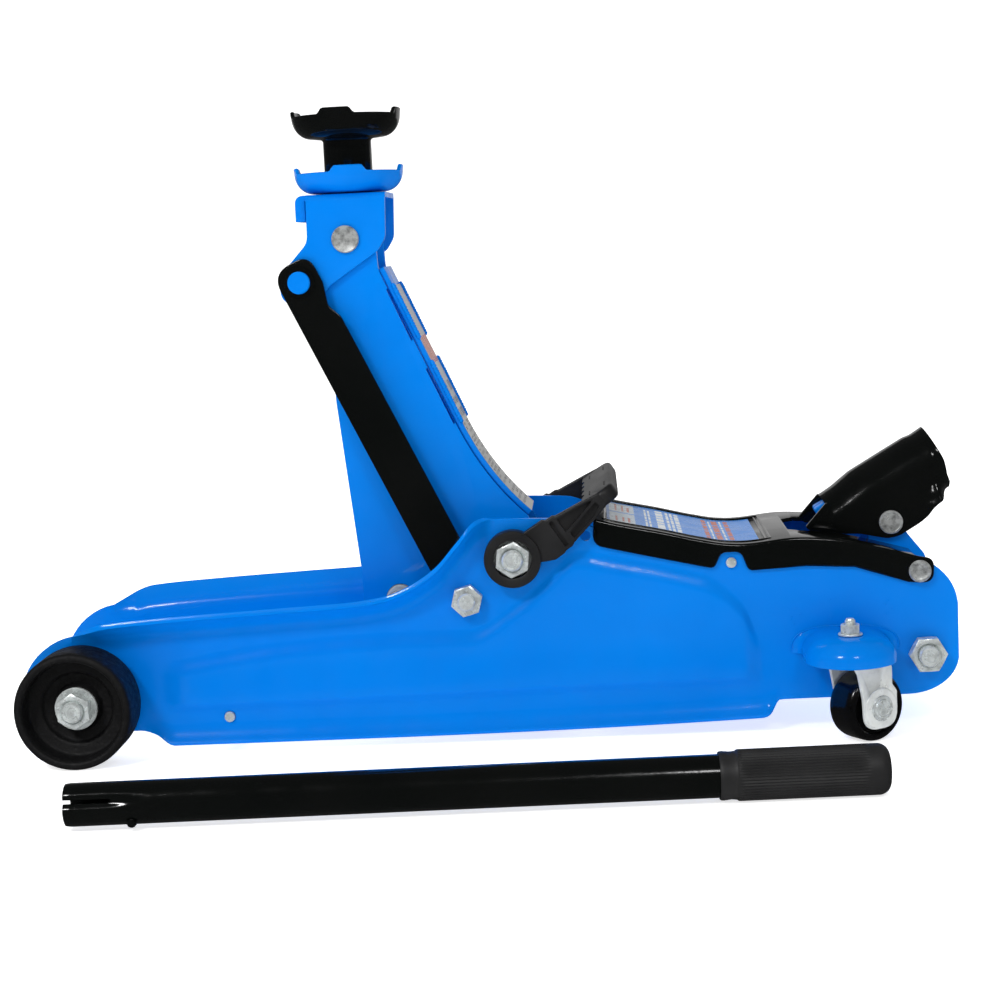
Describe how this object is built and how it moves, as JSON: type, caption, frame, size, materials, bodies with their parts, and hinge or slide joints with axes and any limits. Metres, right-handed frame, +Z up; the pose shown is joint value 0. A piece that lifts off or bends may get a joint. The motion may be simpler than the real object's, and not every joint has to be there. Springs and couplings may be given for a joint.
{
  "type": "hydraulic floor jack",
  "caption": "Low hydraulic floor jack in blue paint with its lift arm raised, a black extension saddle, and its pump handle lying beside it.",
  "frame": {"origin": "on the floor, below the middle of the whole object's box (jack and loose handle)", "axes": "+X towards the handle socket and casters, -X towards the front wheels, +Z up, -Y towards the loose handle"},
  "size_m": [0.5416, 0.3204, 0.3645],
  "materials": {
    "blue_paint": "gloss",
    "black_paint": "gloss",
    "cast_iron": "rough",
    "black_plastic": "matte",
    "zinc": "satin",
    "chrome": "polished",
    "label_face": "gloss"
  },
  "bodies": {
    "frame": {"side_plate_left": "blue_paint", "side_plate_right": "blue_paint", "front_axle": "zinc", "main_pivot_shaft": "zinc", "rear_tie_bolt": "zinc", "front_tie_rod": "zinc", "cover_rod": "zinc", "axle_washer_left": "zinc", "axle_washer_right": "zinc", "axle_nut_left": "zinc", "axle_nut_right": "zinc", "main_pivot_nut_left": "zinc", "main_pivot_nut_right": "zinc", "rear_tie_nut_left": "zinc", "rear_tie_nut_right": "zinc", "link_bolt_left": "zinc", "link_bolt_right": "zinc", "cover_pin_left": "zinc", "cover_pin_right": "zinc", "rear_cover": "black_paint", "caster_bracket_left": "blue_paint", "caster_bracket_right": "blue_paint", "caster_bolt_left": "zinc", "caster_bolt_right": "zinc", "caster_nut_left": "zinc", "caster_nut_right": "zinc"},
    "front_wheel_left": {"front_wheel_left": "cast_iron"},
    "front_wheel_right": {"front_wheel_right": "cast_iron"},
    "caster_left": {"caster_fork_left": "zinc", "caster_axle_left": "zinc"},
    "caster_right": {"caster_fork_right": "zinc", "caster_axle_right": "zinc"},
    "caster_wheel_left": {"caster_wheel_left": "black_plastic"},
    "caster_wheel_right": {"caster_wheel_right": "black_plastic"},
    "lift_arm": {"arm_cheek_left": "blue_paint", "arm_cheek_right": "blue_paint", "arm_back_plate": "blue_paint", "arm_hub": "zinc", "ram_pin": "zinc"},
    "head": {"head_bracket": "blue_paint", "head_pin": "zinc", "link_pin": "blue_paint"},
    "saddle": {"saddle_cup": "blue_paint"},
    "extension": {"extension_saddle": "black_paint"},
    "link_bars": {"link_bar_left": "black_paint", "link_bar_right": "black_paint"},
    "power_unit": {"reservoir_tube": "blue_paint", "pump_block": "blue_paint", "return_spring_left": "zinc", "return_spring_right": "zinc"},
    "ram": {"ram_rod": "chrome"},
    "plunger": {"pump_plunger": "chrome"},
    "socket": {"handle_socket": "black_paint", "socket_pin": "zinc"},
    "release": {"release_key": "blue_paint"},
    "carry_handle": {"carry_handle": "black_plastic"},
    "handle": {"handle_tube": "black_paint", "handle_grip": "black_plastic"},
    "button": {"handle_button": "zinc"}
  },
  "joints": [
    {"name": "lift", "type": "hinge", "parent": "frame", "child": "lift_arm", "pos_m": [0.01673, 0.05517, 0.107], "axis": [0, -1, 0], "range_deg": [0, 75]},
    {"name": "head_level", "type": "hinge", "parent": "lift_arm", "child": "head", "pos_m": [-0.07168, 0.05517, 0.2901], "axis": [0, -1, 0], "range_deg": [-75, 0]},
    {"name": "link_swing", "type": "hinge", "parent": "frame", "child": "link_bars", "pos_m": [-0.01047, 0.05517, 0.0835], "axis": [0, -1, 0], "range_deg": [0, 75]},
    {"name": "power_unit_tilt", "type": "hinge", "parent": "frame", "child": "power_unit", "pos_m": [0.24823, 0.05517, 0.043], "axis": [0, -1, 0], "range_deg": [-0.1, 9.48]},
    {"name": "ram_swing", "type": "hinge", "parent": "lift_arm", "child": "ram", "pos_m": [-0.05128, 0.05517, 0.081], "axis": [0, -1, 0], "range_deg": [-65.72, 0.1]},
    {"name": "saddle_turn", "type": "hinge", "parent": "head", "child": "saddle", "pos_m": [-0.07078, 0.05517, 0.317], "axis": [0, 0, 1], "continuous": true},
    {"name": "extension_lift", "type": "slide", "parent": "saddle", "child": "extension", "axis": [0, 0, 1], "range_m": [0, 0.03]},
    {"name": "pump_stroke", "type": "hinge", "parent": "power_unit", "child": "socket", "pos_m": [0.23392, 0.05517, 0.1141], "axis": [0, -1, 0], "range_deg": [0, 35]},
    {"name": "plunger_stroke", "type": "slide", "parent": "power_unit", "child": "plunger", "axis": [0, 0, 1], "range_m": [-0.0001, 0.0092]},
    {"name": "release_turn", "type": "hinge", "parent": "socket", "child": "release", "pos_m": [0.26072, 0.05517, 0.1475], "axis": [0.866, 0, 0.5], "range_deg": [0, 90]},
    {"name": "carry_handle_swing", "type": "hinge", "parent": "frame", "child": "carry_handle", "pos_m": [0.01673, 0.05517, 0.107], "axis": [0, -1, 0], "range_deg": [0, 50]},
    {"name": "handle_take_up", "type": "slide", "parent": "frame", "child": "handle", "axis": [0, 0, 1], "range_m": [0, 0.15]},
    {"name": "detent_press", "type": "slide", "parent": "handle", "child": "button", "axis": [-0.0284, 0.7065, 0.7071], "range_m": [0, 0.0025], "stiffness_N_per_m": 300},
    {"name": "front_wheel_left_roll", "type": "hinge", "parent": "frame", "child": "front_wheel_left", "pos_m": [-0.23378, -0.01683, 0.0335], "axis": [0, 1, 0], "continuous": true},
    {"name": "front_wheel_right_roll", "type": "hinge", "parent": "frame", "child": "front_wheel_right", "pos_m": [-0.23378, 0.12717, 0.0335], "axis": [0, 1, 0], "continuous": true},
    {"name": "caster_left_swivel", "type": "hinge", "parent": "frame", "child": "caster_left", "pos_m": [0.20222, -0.02483, 0.05], "axis": [0, 0, 1], "range_deg": [-255, 9]},
    {"name": "caster_left_roll", "type": "hinge", "parent": "caster_left", "child": "caster_wheel_left", "pos_m": [0.21061, -0.01938, 0.0195], "axis": [-0.5446, 0.8387, 0], "continuous": true},
    {"name": "caster_right_swivel", "type": "hinge", "parent": "frame", "child": "caster_right", "pos_m": [0.20222, 0.13517, 0.05], "axis": [0, 0, 1], "range_deg": [-54, 210]},
    {"name": "caster_right_roll", "type": "hinge", "parent": "caster_right", "child": "caster_wheel_right", "pos_m": [0.21201, 0.13725, 0.0195], "axis": [-0.2079, 0.9781, 0], "continuous": true}
  ],
  "couplings": [
    {"joint": "head_level", "follows": "lift", "ratio": -1},
    {"joint": "link_swing", "follows": "lift", "ratio": 1},
    {"joint": "power_unit_tilt", "follows": "lift", "ratio": 0.12509},
    {"joint": "ram_swing", "follows": "lift", "ratio": -0.87491},
    {"joint": "plunger_stroke", "follows": "pump_stroke", "m_per_rad": 0.015}
  ]
}
